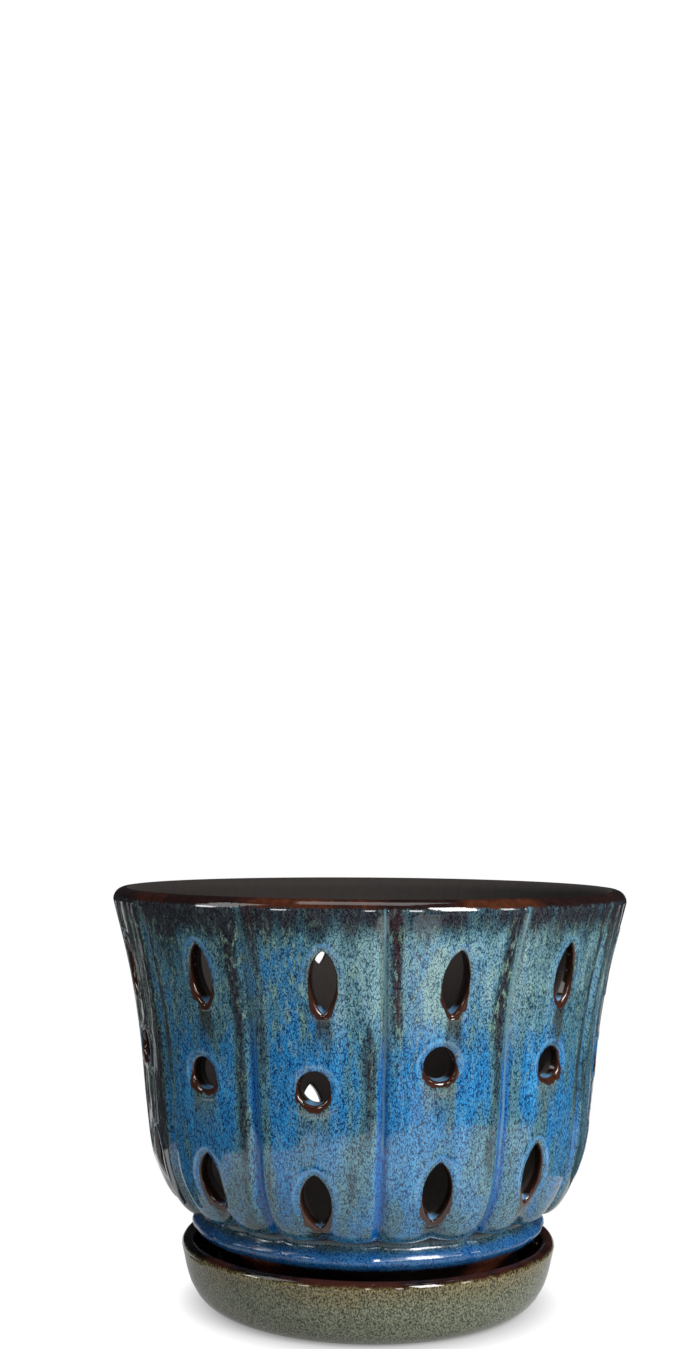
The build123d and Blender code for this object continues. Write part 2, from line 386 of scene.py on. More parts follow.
floor_and_inside = [  # radius, height, up through the drain hole and out over the floor
    (9.2, 9.5), (9.0, 10.5), (9.0, 14.6), (9.3, 15.6), (10.4, 16.0), (24.0, 16.0), (36.0, 16.1),
    (41.5, 16.9), (47.5, 19.6), (53.0, 24.2), (57.5, 30.2), (60.5, 35.8), (64.0, 40.2), (67.6, 43.0),
]
outer = [shell(around, cells_low, 0.0), *(outline_ring(*row) for row in underside)]
inner = [*(outline_ring(*row) for row in floor_and_inside), shell(around, cells_low, wall)]
add_rings(outer + inner, [0.0] * len(outer) + [wall] * len(inner))
print("foot and floor rings:", len(outer) + len(inner), "with", len(around), "points in each")

# %% The rolled rim
def rim_rings():
    """From the top of the cells, over the bead, and down the inside."""
    made = [(shell(around, height, 0.0), 0.0) for height in (cells_high, 150.0, 152.0, 153.6)]
    middle, past_top = rim_radius - bead, radians(100)  # past the top it counts as inside
    for bend in np.radians(np.arange(0, 181, 15)):
        radius, height = middle + bead * cos(bend), rim_level + bead * sin(bend)
        made.append((on_circle(radius, around, height), wall * (bend > past_top)))
    inner = shell(around, np.full_like(around, cells_high), wall + rim_swell)
    last = np.hypot(inner[0][0], inner[0][1])
    for share in 0.35, 0.7:
        radius = (middle - bead) * (1 - share) + last * share
        height = rim_level * (1 - share) + inner[0][2] * share
        made.append((on_circle(radius, around, height), wall))
    made.append((inner, wall))
    return made


rings = rim_rings()
add_rings([ring for ring, _ in rings][::-1], [depth for _, depth in rings][::-1])
print("rim rings:", len(rings))

# %% [markdown]
# ## One skin
# The cells, the foot and the rim share their border points. Welding those makes one closed skin,
# and a quick count of open edges shows that nothing was missed.

# %% Make a mesh from the points
weld_gap = 0.02  # mm


def make_object(name, all_points, all_faces, values):
    """A smooth mesh object from points in millimetres, with a named value for each point."""
    mesh = bpy.data.meshes.new(name)
    mesh.from_pydata((all_points * mm).tolist(), [], all_faces)
    for label, numbers in values.items():
        kind, field = ("FLOAT", "value") if numbers.ndim == 1 else ("FLOAT_VECTOR", "vector")
        mesh.attributes.new(label, kind, "POINT").data.foreach_set(field, numbers.astype(np.float32).ravel())
    work = bmesh.new()
    work.from_mesh(mesh)
    bmesh.ops.remove_doubles(work, verts=work.verts, dist=weld_gap * mm)
    bmesh.ops.recalc_face_normals(work, faces=work.faces)
    open_edges = sum(not edge.is_manifold for edge in work.edges)
    work.to_mesh(mesh)
    work.free()
    mesh.shade_smooth()
    made = bpy.data.objects.new(name, mesh)
    bpy.context.collection.objects.link(made)
    print(name, len(mesh.vertices), "points,", len(mesh.polygons), "faces,", open_edges, "open edges")
    return made


all_points = np.concatenate(points)
all_depths = np.concatenate(depths)
print("points before welding:", len(all_points))

# %% [markdown]
# ## What the glaze needs to know
# A runny glaze behaves by place. It breaks brown on edges, and below each slot it leaves a run. A
# shader can't measure such distances by itself, so each point of the mesh gets them as numbers:
# its distance to the nearest slot edge, how high it is beside that slot, and how far it lies beside
# and below each of the three slots in its column.

# %% Distances from the slots
edge_tree = KDTree(sum(2 * len(edge) for *_, edge in slot_edges))
for number, (*_, edge) in enumerate(slot_edges):
    for k, point in enumerate(edge):
        edge_tree.insert(point, number)
        edge_tree.insert((point + edge[(k + 1) % len(edge)]) / 2, number)
edge_tree.balance()
nearest = [edge_tree.find(point) for point in all_points]
# inside a slot and behind it the distance counts as negative
slot_gap = np.array([distance for *_, distance in nearest]) * np.where(all_depths > 0.05, -1, 1)

middles = {(row, column): slot_place(row, column) for row in slot_rows for column in range(panels)}
near_slot = [slot_edges[number][:2] for _, number, _ in nearest]
near_middle, near_half = np.array([
    (middles[slot][1], slot_rows[slot[0]]["half_height"] * cos(middles[slot][3])) for slot in near_slot]).T
slot_up = (all_points[:, 2] - near_middle) / near_half
print("furthest from a slot:", round(float(slot_gap.max()), 1), "mm")

# %% Which way the wall faces
def wall_normal(angle, height):
    """The outward direction of the outside wall, from two tiny steps along it."""
    sideways = shell(angle + 0.002, height, 0.0) - shell(angle - 0.002, height, 0.0)
    upward = shell(angle, height + 0.2, 0.0) - shell(angle, height - 0.2, 0.0)
    made = np.cross(sideways, upward)
    return made / np.linalg.norm(made, axis=1)[:, None]


print("the wall at mid height faces", wall_normal(np.array([0.1]), np.array([90.0])).round(2)[0].tolist())

# %% Beside and below each slot of the column
angles = np.arctan2(all_points[:, 0], -all_points[:, 1])
radii = np.hypot(all_points[:, 0], all_points[:, 1])
columns = np.round(angles / panel_angle).astype(int) % panels
beside, below = np.zeros((2, len(all_points), 3))
for k, row in enumerate(slot_rows):
    places = np.array([middles[row, column] for column in range(panels)])[columns]
    beside[:, k] = half_turn(angles - places[:, 0]) * radii
    below[:, k] = places[:, 1] - slot_rows[row]["half_height"] * np.cos(places[:, 3]) - all_points[:, 2]

pot = make_object("pot_glazed", all_points, faces, {
    "slot_gap": slot_gap, "slot_up": slot_up, "depth": all_depths, "beside": beside, "below": below,
})
ends = np.array([vertex.co[:] for vertex in pot.data.vertices]) / mm
normals = np.array([vertex.normal[:] for vertex in pot.data.vertices])
gaps_left, at_depth = (
    np.array([item.value for item in pot.data.attributes[label].data]) for label in ("slot_gap", "depth"))
rolls_end, plain_top = 5.0, 147.0  # past the rolls beside the slots, and just under the rim
plain_wall = (at_depth == 0) & (gaps_left > rolls_end) & (ends[:, 2] > scallop_from) & (ends[:, 2] < plain_top)
normals[plain_wall] = wall_normal(np.arctan2(ends[:, 0], -ends[:, 1])[plain_wall], ends[plain_wall, 2])
pot.data.normals_split_custom_set_from_vertices(normals.tolist())
print("points with the wall's own direction:", int(plain_wall.sum()))
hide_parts("pot")
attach(pot, "pot")

# %% [markdown]
# ## The saucer
# The saucer is thrown on a wheel, so one outline turned round is right, and a slight wander of its
# lip is all that separates it from a machine part. It stays inside the CAD saucer's box.

# %% The saucer's outline and mesh
saucer_outline = [  # radius, height
    (12.0, 1.5), (30.0, 1.5), (49.2, 1.5), (49.9, 1.2), (50.0, 0.5), (50.4, 0.0), (54.0, 0.0), (58.6, 0.0),
    (60.2, 0.25), (61.8, 0.9), (63.6, 1.9), (65.3, 3.3), (66.8, 5.0), (68.0, 7.0), (69.3, 9.3), (70.3, 12.0),
    (71.2, 15.0), (71.9, 18.0), (72.5, 20.4), (72.9, 22.0), (72.8, 23.0), (72.3, 23.9), (71.5, 24.6),
    (70.4, 24.95), (69.3, 24.7), (68.4, 24.0), (67.8, 22.9), (67.3, 21.0), (66.7, 18.0), (65.9, 15.0),
    (64.8, 12.2), (63.5, 9.8), (61.9, 7.7), (60.2, 6.4), (58.3, 6.0), (57.0, 5.96), (40.0, 5.96), (12.0, 5.96),
]
saucer_columns = 240
saucer_turn = np.linspace(0, 2 * pi, saucer_columns, endpoint=False)
wander = 0.12 * np.sin(2 * saucer_turn + 0.6) + 0.08 * np.sin(5 * saucer_turn) - 0.2


def saucer_rings():
    """The outline carried round, with a slight wander that grows towards the lip."""
    for radius, height in saucer_outline:
        loose = ease(5, 24, height)
        yield on_circle(radius + wander * loose, saucer_turn, height + 0.2 * loose * wander)


points, faces, depths = [], [], []
rings = list(saucer_rings())
add_rings(rings, [0.0] * len(rings))
last = (len(rings) - 1) * saucer_columns
faces.append(tuple(range(saucer_columns))[::-1])
faces.append(tuple(last + k for k in range(saucer_columns)))
lip_top = max(range(len(saucer_outline)), key=lambda k: saucer_outline[k][1])
inside = np.repeat([float(k > lip_top) for k in range(len(rings))], saucer_columns)
saucer = make_object("saucer_glazed", np.concatenate(points), faces, {"inside": inside})
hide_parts("saucer")
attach(saucer, "saucer")

# %% [markdown]
# ## Small helpers for materials
# A glaze is worked out from a few numbers with simple sums: where is it thick, where does it break.
# Written as node boxes, each sum would take five lines, so these helpers make one node and give
# back its output.

# %% Node helpers
def colour(red, green, blue):
    """A colour as a paint chart gives it, 0 to 255, in the linear values that Blender reckons with."""
    linear = [((c / 255 + 0.055) / 1.055) ** 2.4 if c > 10 else c / 255 / 12.92 for c in (red, green, blue)]
    return (*linear, 1.0)


class Shop:
    """The node tree of a material or of the surroundings, with short ways to add to it."""

    def __init__(self, owner):
        """Begins with a new material of this name, or with the surroundings."""
        owner = bpy.data.materials.new(owner) if isinstance(owner, str) else owner
        owner.use_nodes = True
        self.owner, self.tree = owner, owner.node_tree
        self.shader = self.tree.nodes.get("Principled BSDF")

    def node(self, kind, **settings):
        """A new node with its settings."""
        made = self.tree.nodes.new("ShaderNode" + kind)
        for name, value in settings.items():
            setattr(made, name, value)
        return made

    def tell(self, what):
        """Prints how many nodes there are so far."""
        print(what, len(self.tree.nodes), "nodes")

    def feed(self, sockets, *values):
        """Links each socket to another, or sets it to a plain value."""
        for socket, value in zip(sockets, values):
            if isinstance(value, bpy.types.NodeSocket):
                self.tree.links.new(value, socket)
            else:
                socket.default_value = value

    def finish(self, name, value):
        """Sets one of the shader's own sockets."""
        self.feed([self.shader.inputs[name]], value)

    def sum(self, operation, *values):
        """One step of arithmetic."""
        made = self.node("Math", operation=operation)
        self.feed(made.inputs, *values)
        return made.outputs[0]

    def times(self, first, *others):
        """Several masks multiplied."""
        for value in others:
            first = self.sum("MULTIPLY", first, value)
        return first

    def most(self, first, *others):
        """The largest of several masks."""
        for value in others:
            first = self.sum("MAXIMUM", first, value)
        return first

    def plus(self, first, *parts):
        """A value plus some parts, each as a mask and how much it adds."""
        for mask, amount in parts:
            first = self.sum("MULTIPLY_ADD", mask, amount, first)
        return first

    def fade(self, value, low, high, start=0.0, end=1.0, kind="SMOOTHSTEP"):
        """A step from start to end as the value goes from low to high, soft unless its kind says otherwise."""
        made = self.node("MapRange", interpolation_type=kind)
        self.feed(made.inputs, value, low, high, start, end)
        return made.outputs[0]

    def band(self, value, middle, half, soft):
        """1 within half a width of the middle, with soft borders."""
        away = self.sum("ABSOLUTE", self.sum("SUBTRACT", value, middle))
        return self.fade(away, half + soft, half - soft)

    def place(self):
        """Where a point lies on the object, in metres."""
        return self.node("TexCoord").outputs["Object"]

    def number(self, label):
        """A value that the mesh carries for each point."""
        return self.node("Attribute", attribute_name=label).outputs["Fac"]

    def three(self, value):
        """The three numbers of a place, or of a value that the mesh carries as a triple."""
        if isinstance(value, str):
            value = self.node("Attribute", attribute_name=value).outputs["Vector"]
        made = self.node("SeparateXYZ")
        self.feed(made.inputs, value)
        return tuple(made.outputs)

    def measure(self):
        """Where a point lies in mm, and how far out from the middle."""
        x, y, z = (self.sum("DIVIDE", way, mm) for way in self.three(self.place()))
        return x, y, z, self.sum("SQRT", self.sum("MULTIPLY_ADD", x, x, self.sum("MULTIPLY", y, y)))

    def noise(self, squeeze, scale, detail=2.0, rough=0.5, distort=0.0):
        """Cloudy noise with spots about 1 / scale mm wide, and 1 / squeeze times as high."""
        place = self.node("Mapping")
        self.feed(place.inputs, self.place())
        place.inputs["Scale"].default_value = (1 / mm, 1 / mm, squeeze / mm)
        made = self.node("TexNoise")
        sockets = [made.inputs[name] for name in ("Vector", "Scale", "Detail", "Roughness", "Distortion")]
        self.feed(sockets, place.outputs[0], scale, detail, rough, distort)
        return made.outputs["Fac"]

    def mix(self, share, first, second):
        """A colour between two others. A plain one is given as red, green and blue from 0 to 255."""
        made = self.node("Mix", data_type="RGBA")
        shades = [colour(*shade) if isinstance(shade, tuple) else shade for shade in (first, second)]
        self.feed([made.inputs[k] for k in (0, 6, 7)], share, *shades)
        return made.outputs[2]

    def lay(self, share, shade):
        """Lays a colour over the coat so far, as much as its share says."""
        self.coat = self.mix(share, self.coat, shade)

    def ramp(self, value, kind, stops):
        """Colours along a value from 0 to 1, each with its place."""
        made = self.node("ValToRGB")
        self.feed(made.inputs, value)
        made.color_ramp.interpolation = kind
        spots = made.color_ramp.elements
        while len(spots) < len(stops):
            spots.new(1.0)
        for spot, (at, shade) in zip(spots, stops):
            spot.position, spot.color = at, shade
        return made.outputs["Color"]

    def swell(self, height, amount):
        """Lets the skin rise and fall with a value, by this many mm."""
        made = self.node("Bump")
        made.inputs["Strength"].default_value = amount
        made.inputs["Distance"].default_value = amount * mm
        self.feed([made.inputs["Height"]], height)
        self.finish("Normal", made.outputs[0])


print("a mid cobalt in linear values:", [round(c, 3) for c in colour(40, 90, 140)])

# %% [markdown]
# ## The pot's glaze
# Potters get this look by laying a pale, runny glaze over a dark iron one. In the kiln the two
# boil through each other and freeze into a fine web: dark lines round pale cells. Where the coat
# is thin it stays dark, then it turns teal, cobalt, light blue and at its thickest cream.
# So one number stands for how thick the coat is, one for the web, and two colour charts give the
# dark line and the pale cell for that thickness.

# %% Measure the place
glaze = Shop("runny blue glaze")
fade, band, times, plus, most = glaze.fade, glaze.band, glaze.times, glaze.plus, glaze.most
noise, mix, lay = glaze.noise, glaze.mix, glaze.lay  # short words for this glaze's helpers
gap, edge_up, depth = (glaze.number(label) for label in ("slot_gap", "slot_up", "depth"))
leaf_side, hole_side, low_side = glaze.three("beside")
leaf_below, hole_below, low_below = glaze.three("below")
x, y, z, radius = glaze.measure()
turn = glaze.sum("DIVIDE", glaze.sum("ARCTAN2", x, glaze.sum("MULTIPLY", y, -1)), panel_angle)
groove_number = glaze.sum("FLOOR", turn)
groove_share = glaze.sum("SUBTRACT", glaze.sum("SUBTRACT", turn, groove_number), 0.5)
wander = noise(0.5, 0.04, 1)
seam = plus(times(groove_share, panel_angle, radius), (wander, 5), (1, -2.5))  # mm to a groove's right
from_seam = glaze.sum("ABSOLUTE", seam)
glaze.tell("measuring:")

# %% [markdown]
# ## No two grooves or panels are alike
# On a pot that was glazed by hand every groove and panel comes out a little different. Noise could
# tell them apart, but then nobody could say which one is dark. Three numbers for each are easy to
# read and to change, and a ramp with hard steps looks them up.

# %% Look up a groove or a panel
def look_up(number, rows):
    """Three numbers from the row with this number, counted from 0."""
    count = len(rows)
    at = glaze.sum("MULTIPLY_ADD", number, 1 / count, 0.5 / count)
    steps = glaze.ramp(at, "CONSTANT", [(k / count, (*row, 1)) for k, row in enumerate(rows)])
    split = glaze.node("SeparateColor")
    glaze.feed(split.inputs, steps)
    return tuple(split.outputs)


groove_row = glaze.sum("ADD", groove_number, panels / 2)  # row 6 is the groove to the right of the front
left_streak, right_streak, pale_run = look_up(groove_row, [
    (0.6, 0.3, 0.4), (0.2, 0.8, 0.9), (0.9, 0.2, 0.3), (0.5, 0.6, 0.7), (0.4, 0.5, 0.5), (1, 0.5, 0.3),
    (1, 1, 0.8), (1, 0.3, 0.8), (0.5, 0.4, 0.6), (0.8, 0.3, 0.4), (0.2, 0.9, 0.8), (0.7, 0.5, 0.5),
])
full_height = 160  # mm, of which the next rows are shares
left_end, right_end, left_top = look_up(groove_row, [
    (0.3, 0.5, 1), (0.6, 0.3, 1), (0.3, 0.5, 0.8), (0.5, 0.3, 1), (0.4, 0.3, 1), (0.27, 0.28, 1),
    (0.47, 0.71, 0.71), (0.38, 0.5, 1), (0.5, 0.3, 1), (0.3, 0.6, 0.7), (0.6, 0.4, 1), (0.4, 0.4, 1),
])
left_sage, right_sage, low_sage = look_up(groove_row, [
    (0.3, 0.5, 0.3), (0.6, 0.9, 0.6), (0.2, 0.3, 0.2), (0.5, 0.2, 0.5), (0.1, 0.1, 0.2), (0.15, 0.1, 0.3),
    (0.85, 0.7, 0.5), (0.9, 0.8, 0.8), (0.55, 0.4, 0.5), (0.7, 0.5, 0.4), (0.2, 0.6, 0.8), (0.6, 0.3, 0.4),
])
column = glaze.sum("FLOORED_MODULO", glaze.sum("FLOOR", glaze.sum("ADD", turn, 0.5)), float(panels))
# the third number darkens a panel's colour, most of all in columns 10 and 9, at the left edge as the camera
# sees the pot
cream, dark_top, dark_panel = look_up(column, [  # row 0 is the front panel
    (0.05, 0.6, 0), (1, 0.1, 0), (0.3, 0.3, 0.12), (0.1, 0.8, 0.3), (0.6, 0.4, 0), (0.2, 0.6, 0.1),
    (0, 1, 0.3), (0.7, 0.3, 0), (0.1, 0.6, 0.2), (0.4, 0.8, 0.6), (0, 1, 1), (0, 1, 0.1),
])
off_dark_panel = plus(1, (dark_panel, -0.85))
off_groove = fade(from_seam, 0.5, 5)
dark_panel, dark_top = times(dark_panel, off_groove), times(dark_top, off_groove)
glaze.tell("with the look-ups:")

# %% [markdown]
# ## How thick the coat lies
# Glaze runs while it melts. It thins out under the rim, slides down in streaks beside the grooves,
# and gathers in a halo above each slot. All of this is added up to one number, the thickness.
# Painting every spot by hand would look no better, and couldn't be changed again in one place.

# %% Where the coat is thick
streaks = noise(0.13, 0.15, 2.5, 0.55)
clouds = noise(0.6, 0.05, 3, 0.5)
flecks = noise(0.22, 0.7, 2, 0.5)
in_groove = fade(from_seam, 2, 1.2)
left_dark = times(
    band(seam, -4.8, 2.2, 2.2), left_streak, fade(plus(z, (left_end, -full_height)), -10, 8),
    fade(plus(z, (left_top, -full_height), (streaks, 30)), 22, 2))
right_dark = times(
    band(seam, 4.3, 1.8, 1.7), right_streak, fade(plus(z, (right_end, -full_height)), -10, 8))
streak = times(most(left_dark, right_dark), fade(z, 44, 120, 0.55, 1))
round_hole = times(fade(glaze.sum("ABSOLUTE", hole_side), 20, 6), band(z, 94, 16, 12))
halo = times(band(gap, 1.7, 0.5, 0.8), fade(edge_up, -0.9, 0.3), fade(clouds, 0.3, 0.6, 0.5, 1))
drop = times(band(seam, 0, 2.4, 1), band(z, 146, 7, 3))
round_leaf = times(cream, fade(gap, 12, 4), fade(plus(z, (clouds, 24)), 116, 134))
top_share = times(dark_top, fade(z, 112, 146))
pale_groove = times(in_groove, pale_run, fade(z, 70, 110))
thick = plus(
    -0.14, (streaks, 0.75), (clouds, 0.4), (round_hole, 0.1), (halo, 0.2), (drop, 0.04), (streak, -0.38),
    (round_leaf, 0.12), (top_share, -0.2), (dark_panel, -0.42), (fade(z, 141, 153.5), -0.32),
    (pale_groove, 0.14))
glaze.tell("with the thickness:")

# %% Colour charts for line and cell
def chart(stops):
    """A colour for every thickness of the coat, from a few that are known."""
    return glaze.ramp(thick, "EASE", [(at, colour(*shade)) for at, shade in stops])


dark_line = chart([
    (0.02, (13, 12, 20)), (0.18, (4, 14, 24)), (0.34, (0, 24, 50)), (0.50, (0, 28, 80)),
    (0.66, (0, 46, 108)), (0.82, (36, 92, 130)), (1, (84, 116, 116)),
])
pale_cell = chart([
    (0.02, (54, 58, 66)), (0.18, (60, 92, 106)), (0.34, (84, 138, 160)), (0.50, (44, 136, 198)),
    (0.66, (72, 164, 220)), (0.82, (144, 194, 212)), (1, (190, 205, 184)),
])
ridges = glaze.sum("ABSOLUTE", glaze.sum("SUBTRACT", noise(0.5, 1.45, 0, 0.5, 0.4), 0.5))
web = fade(ridges, 0.02, 0.13, 0.1, 0.97)  # low on the lines, high in the cells
fleck_share = times(
    fade(flecks, 0.5, 0.66, 0, 0.8), fade(z, 88, 128, 0.35, 1), fade(z, 153, 143, 0.2, 1))
glaze.coat = mix(web, dark_line, mix(fleck_share, pale_cell, (134, 168, 152)))
lay(times(halo, 0.5), (118, 164, 204))
plum = times(right_dark, fade(z, 104, 122, 0, 0.75), fade(flecks, 0.68, 0.5))
lay(plum, mix(web, (18, 10, 15), (74, 48, 52)))
glaze.tell("with the charts:")

# %% [markdown]
# ## Sage and cobalt along the grooves
# Where two runs meet beside a groove the coat turns a milky sage. In the groove itself it is sage
# at the top, and below it pools as clear cobalt with a pale thread. These are laid over the
# charts' colours one by one, each with a share from 0 to 1 that says where it shows.

# %% Sage beside some grooves, and in their upper ends
left_side = times(fade(seam, -24, -13), fade(seam, 0, -1), left_sage)
right_side = times(fade(seam, 24, 13), fade(seam, 0, 1), right_sage)
high = fade(plus(z, (clouds, 30), (streaks, 16)), 129, 150)
low = times(fade(z, 86, 74), low_sage, 0.4)
not_dark = fade(streak, 0.5, 0.1)
sage = times(
    most(left_side, right_side, round_leaf), most(high, low), not_dark,
    fade(streaks, 0.36, 0.56, 0.3, 1), fade(z, 153, 141))
lay(sage, mix(web, (28, 70, 96), (148, 184, 182)))
near_groove = fade(from_seam, 2.2, 1.1)
cobalt = times(near_groove, off_dark_panel, fade(z, 120, 104, 0, 0.9))
lay(cobalt, mix(web, (0, 50, 114), (14, 108, 184)))
groove_top = times(
    in_groove, pale_run, fade(plus(z, (clouds, 20)), 104, 130), fade(z, 157, 147, 0.3, 1))
teal_sage, grey_sage = mix(web, (62, 88, 92), (120, 142, 130)), mix(web, (32, 42, 42), (92, 106, 96))
lay(groove_top, mix(fade(z, 134, 149), teal_sage, grey_sage))
thread = times(band(seam, 0.3, 0.4, 0.3), pale_run, fade(plus(z, (flecks, 60)), 86, 110), 0.7)
lay(thread, (112, 158, 176))
glaze.tell("with the grooves:")

# %% [markdown]
# ## Brown edges, olive runs, the foot and the inside
# Over the charts come the places where the glaze does something else. It runs off edges and leaves
# iron brown, and below each slot it drags some of that brown down as an olive run. It lies thin
# and blue on the flared ring, with a dark line of painted shade where the lobes overhang it. The
# foot below is painted dark for the shade it stands in, with a breath of copper at two places, and
# inside only the dark under-glaze was poured, which fired matt.

# %% Olive runs below the slots
ragged = noise(0.3, 0.4, 2)
hole_edge = glaze.sum("ABSOLUTE", plus(hole_side, (ragged, 2.4), (1, -1.2)))
hole_run = times(
    fade(hole_edge, 6.8, 4.6), fade(hole_below, -3, 0.5),
    fade(plus(hole_below, (streaks, 16)), 28, 6))
lay(times(hole_run, 0.85), mix(web, (20, 34, 40), (110, 130, 106)))
leaf_edge = glaze.sum("ABSOLUTE", plus(leaf_side, (ragged, 2), (1, -1)))
leaf_run = times(
    fade(plus(leaf_edge, (leaf_below, -0.08)), 3.8, 1.6), fade(leaf_below, -3, 0),
    fade(plus(leaf_below, (streaks, 12)), 25, 9))
low_run = times(
    fade(glaze.sum("ABSOLUTE", low_side), 5, 2), fade(low_below, -3, 0), fade(low_below, 8, 2))
lay(times(most(leaf_run, low_run), 0.95), mix(web, (16, 18, 22), (66, 76, 72)))
glaze.tell("with the runs:")

# %% Iron brown where the glaze ran thin
low_edge = fade(edge_up, 0.1, -0.9)
reach = plus(-0.45, (times(low_edge, ragged), 3.6))
on_edge = fade(glaze.sum("SUBTRACT", gap, reach), 0.25, -0.25)
lay(on_edge, mix(ragged, (14, 8, 9), (80, 45, 31)))
bare = fade(noise(1, 0.03, 2), 0.42, 0.6)
on_rim = fade(plus(z, (ragged, 2)), 156.4, 157.4)
lay(on_rim, mix(ragged, (15, 9, 11), mix(bare, (48, 30, 28), (96, 52, 32))))
lay(fade(depth, 1.2, 2), mix(ragged, (16, 11, 10), (40, 28, 21)))
pool = times(fade(edge_up, -0.72, -0.9), fade(depth, 5.5, 4.5), fade(depth, 0.9, 1.4))
lay(pool, (96, 140, 176))
glaze.tell("with the edges:")

# %% The flared ring and the foot
outside = fade(depth, 2, 1)
ring = times(fade(z, 38.6, 36.8), outside)
ring_teal, ring_blue = mix(web, (14, 34, 44), (64, 98, 108)), mix(web, (4, 44, 98), (32, 96, 156))
lay(times(ring, 0.8), mix(fade(z, 34.6, 32.8), ring_teal, ring_blue))
# painted shade: a dark line in the crevice where the lobes' lower edge overhangs the ring
lay(times(band(z, 37.4, 0.9, 0.9), outside, 0.75), (12, 16, 24))
# painted shade: the foot below the ring is painted dark for the shade it stands in inside the saucer
shaded_foot = times(fade(plus(z, (ragged, 1.5)), 29.2, 27.4), outside)
lay(shaded_foot, mix(ragged, (12, 9, 10), (34, 24, 22)))
copper = times(
    most(band(turn, -0.83, 0.2, 0.2), band(turn, 1.9, 0.25, 0.2)), shaded_foot, fade(z, 18, 22))
lay(copper, mix(ragged, (70, 34, 26), (150, 84, 62)))
foot_clay = times(fade(z, 6.6, 6.2), outside)
lay(foot_clay, (168, 120, 92))
glaze.tell("with the foot:")

# %% Gloss and the skin of the glaze
glaze.finish("Base Color", glaze.coat)
glaze.finish("Roughness", plus(0.06, (foot_clay, 0.7), (fade(depth, 3, 5), 0.84), (ring, 0.14)))
glaze.finish("IOR", 1.62)
glaze.swell(plus(noise(0.5, 0.14, 2), (web, 0.012), (in_groove, 0.3)), 0.4)
pot.data.materials.append(glaze.owner)
glaze.tell("the pot's glaze:")

# %% [markdown]
# ## The saucer's glaze
# The saucer got the dark glaze all over and only a breath of the pale one outside, which leaves a
# fine khaki speckle. Its lip is brown-black and the inside is so dark and glossy that it works as
# a mirror for the pot.

# %% Khaki outside, black inside
khaki = Shop("speckled olive glaze")
fade, times, plus, noise, mix = khaki.fade, khaki.times, khaki.plus, khaki.noise, khaki.mix  # and for this
*_, z, out = khaki.measure()
speck = fade(noise(0.7, 1.9, 1, 0.5, 0.4), 0.36, 0.64)
drift = noise(0.5, 0.05, 3)
cool, warm = mix(speck, (50, 54, 40), (138, 144, 120)), mix(speck, (44, 37, 20), (140, 130, 92))
khaki.coat = mix(fade(plus(z, (drift, 14)), 20, 31), cool, warm)
lip = fade(plus(z, (noise(0.25, 0.35, 3), 2.4)), 23.6, 25.2)
dark = khaki.most(lip, khaki.number("inside"))
copper = times(
    khaki.number("inside"), fade(z, 11, 17), fade(z, 24.4, 23.4), fade(noise(1, 0.035, 1), 0.48, 0.56))
iron_black = mix(fade(drift, 0.4, 0.62), (14, 9, 9), (60, 30, 22))
khaki.lay(dark, mix(copper, iron_black, (128, 66, 46)))
clay = times(fade(z, 1.8, 1.4), fade(out, 60.4, 59.8))
khaki.lay(clay, (168, 120, 92))
khaki.finish("Base Color", khaki.coat)
khaki.finish("Roughness", plus(0.08, (clay, 0.7), (dark, -0.03)))
khaki.swell(noise(1, 0.1, 2), 0.3)
saucer.data.materials.append(khaki.owner)
khaki.tell("the saucer's glaze:")

# %% [markdown]
# ## The studio
# Glaze shows what stands round it more than anything else does. A white table and a white
# background, soft boxes for the highlights, and dark cards that only the glaze sees give the pot's
# edges their lines, as in a product photographer's studio.

# %% Table
def flat_sheet(name, corners, sheets=((0, 1, 2, 3),)):
    """A sheet with four corners, or several in one, for the table or a card."""
    mesh = bpy.data.meshes.new(name)
    mesh.from_pydata(corners, [], sheets)
    made = bpy.data.objects.new(name, mesh)
    bpy.context.collection.objects.link(made)
    return made


def white_where_seen(shop, seen, plain, white, output):
    """Ends a node tree with its plain light, and with white for the rays that seen lets through."""
    mixed = shop.node("MixShader")
    shop.feed(mixed.inputs, seen, plain.outputs[0], white.outputs[0])
    shop.feed(shop.tree.nodes[output].inputs, mixed.outputs[0])


table = flat_sheet("table", [(-40, -40, 0), (40, -40, 0), (40, 40, 0), (-40, 40, 0)])
paper = Shop("white paper")
paper.finish("Base Color", (0.45, 0.45, 0.45, 1))
paper.finish("Roughness", 0.9)
rays = paper.node("LightPath").outputs
away = paper.node("VectorMath", operation="LENGTH")
paper.feed(away.inputs, paper.place())
away = away.outputs["Value"]  # metres from the pot's middle, because near the pot the paper keeps its shade
by_eye = paper.times(rays["Is Camera Ray"], paper.fade(away, 0.06, 0.074, 0.3, 1.0, "LINEAR"))
by_glaze = paper.times(rays["Is Glossy Ray"], paper.fade(away, 0.09, 0.23, 0.3, 1.0, "LINEAR"))
seen = paper.most(by_glaze, rays["Is Transmission Ray"], by_eye)
white_where_seen(paper, seen, paper.shader, paper.node("Emission"), "Material Output")
table.data.materials.append(paper.owner)
paper.tell("paper:")

# %% White surroundings
world = bpy.data.worlds.new("studio")
bpy.context.scene.world = world
room = Shop(world)
rays = room.node("LightPath").outputs
white, soft = room.tree.nodes["Background"], room.node("Background")
for light, strength in (white, 1.0), (soft, 0.25):
    room.feed(light.inputs, (1, 1, 1, 1), strength)
seen = room.most(rays["Is Glossy Ray"], rays["Is Transmission Ray"], rays["Is Camera Ray"])
white_where_seen(room, seen, soft, white, "World Output")
room.tell("surroundings:")

# %% Soft boxes
def soft_box(name, place, size, watts, aim=(0, 0, 0.09)):
    """A flat lamp that faces the pot."""
    lamp = bpy.data.lights.new(name, "AREA")
    lamp.shape, lamp.size, lamp.size_y, lamp.energy = "RECTANGLE", *size, watts
    made = bpy.data.objects.new(name, lamp)
    made.location = place
    made.rotation_euler = (Vector(aim) - Vector(place)).to_track_quat("-Z", "Y").to_euler()
    bpy.context.collection.objects.link(made)
    return made


